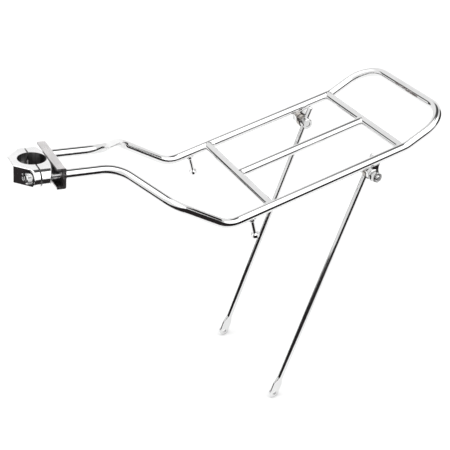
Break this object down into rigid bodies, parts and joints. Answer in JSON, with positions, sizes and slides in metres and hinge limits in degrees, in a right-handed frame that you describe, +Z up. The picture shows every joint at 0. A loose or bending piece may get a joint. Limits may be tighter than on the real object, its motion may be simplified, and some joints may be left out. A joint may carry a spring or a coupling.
{
  "type": "bicycle rear rack",
  "caption": "Tubular rear rack: a bent hoop with crossbars, a split seatpost clamp in front and two rod stays with drilled feet",
  "frame": {"origin": "on the seatpost axis, in the middle of the clamp's height", "axes": "+X to the back of the bicycle, +Y to its right, +Z up; the platform is level and the seatpost axis leans back 17.4 degrees"},
  "size_m": [0.4407, 0.174, 0.3675],
  "materials": {
    "frame_chrome": "mirror-bright chrome plate",
    "crosspiece_satin": "satin plated steel",
    "jaw_aluminium": "polished forged aluminium",
    "fastener_steel": "bright stainless steel",
    "stay_steel": "polished rod, mirror-bright",
    "label_film": "plain printed film, no lettering"
  },
  "bodies": {
    "rack": {"main_hoop": "frame_chrome", "front_crossbar": "frame_chrome", "rear_crossbar": "frame_chrome", "center_tube": "frame_chrome", "crosspiece": "crosspiece_satin", "clamp_jaw_rear": "jaw_aluminium", "strap_peg_left": "frame_chrome", "strap_peg_right": "frame_chrome", "stay_lug_left": "frame_chrome", "stay_lug_right": "frame_chrome", "arm_bush_left": "fastener_steel", "arm_bush_right": "fastener_steel"},
    "front_jaw": {"clamp_jaw_front": "jaw_aluminium", "clamp_washer_left": "fastener_steel", "clamp_washer_right": "fastener_steel"},
    "bolt_left": {"clamp_bolt_left": "fastener_steel"},
    "bolt_right": {"clamp_bolt_right": "fastener_steel"},
    "eye_left": {"eyebolt_left": "fastener_steel", "eye_saddle_left": "fastener_steel", "lug_washer_left": "fastener_steel", "stay_nut_left": "fastener_steel"},
    "eye_right": {"eyebolt_right": "fastener_steel", "eye_saddle_right": "fastener_steel", "lug_washer_right": "fastener_steel", "stay_nut_right": "fastener_steel"},
    "stay_left": {"stay_left": "stay_steel"},
    "stay_right": {"stay_right": "stay_steel"}
  },
  "joints": [
    {"name": "jaw_open", "type": "slide", "parent": "rack", "child": "front_jaw", "axis": [-0.9542, 0, 0.299], "range_m": [0, 0.006]},
    {"name": "bolt_left_turn", "type": "hinge", "parent": "front_jaw", "child": "bolt_left", "pos_m": [-0.00954, -0.023, 0.00299], "axis": [-0.9542, 0, 0.299], "range_deg": [0, 2160.01]},
    {"name": "bolt_right_turn", "type": "hinge", "parent": "front_jaw", "child": "bolt_right", "pos_m": [-0.00954, 0.023, 0.00299], "axis": [-0.9542, 0, 0.299], "range_deg": [0, 2160.01]},
    {"name": "stay_left_swivel", "type": "hinge", "parent": "rack", "child": "eye_left", "pos_m": [0.3168, -0.065, -0.1153], "axis": [0, 1, 0], "range_deg": [-120, 56]},
    {"name": "stay_left_slide", "type": "slide", "parent": "eye_left", "child": "stay_left", "axis": [0.5505, 0, 0.8348], "range_m": [-0.012, 0.012]},
    {"name": "stay_right_swivel", "type": "hinge", "parent": "rack", "child": "eye_right", "pos_m": [0.3168, 0.065, -0.1153], "axis": [0, 1, 0], "range_deg": [-120, 56]},
    {"name": "stay_right_slide", "type": "slide", "parent": "eye_right", "child": "stay_right", "axis": [0.5505, 0, 0.8348], "range_m": [-0.012, 0.012]}
  ],
  "couplings": [
    {"joint": "bolt_left_turn", "follows": "jaw_open", "rad_per_m": 6283.2},
    {"joint": "bolt_right_turn", "follows": "jaw_open", "rad_per_m": 6283.2}
  ]
}
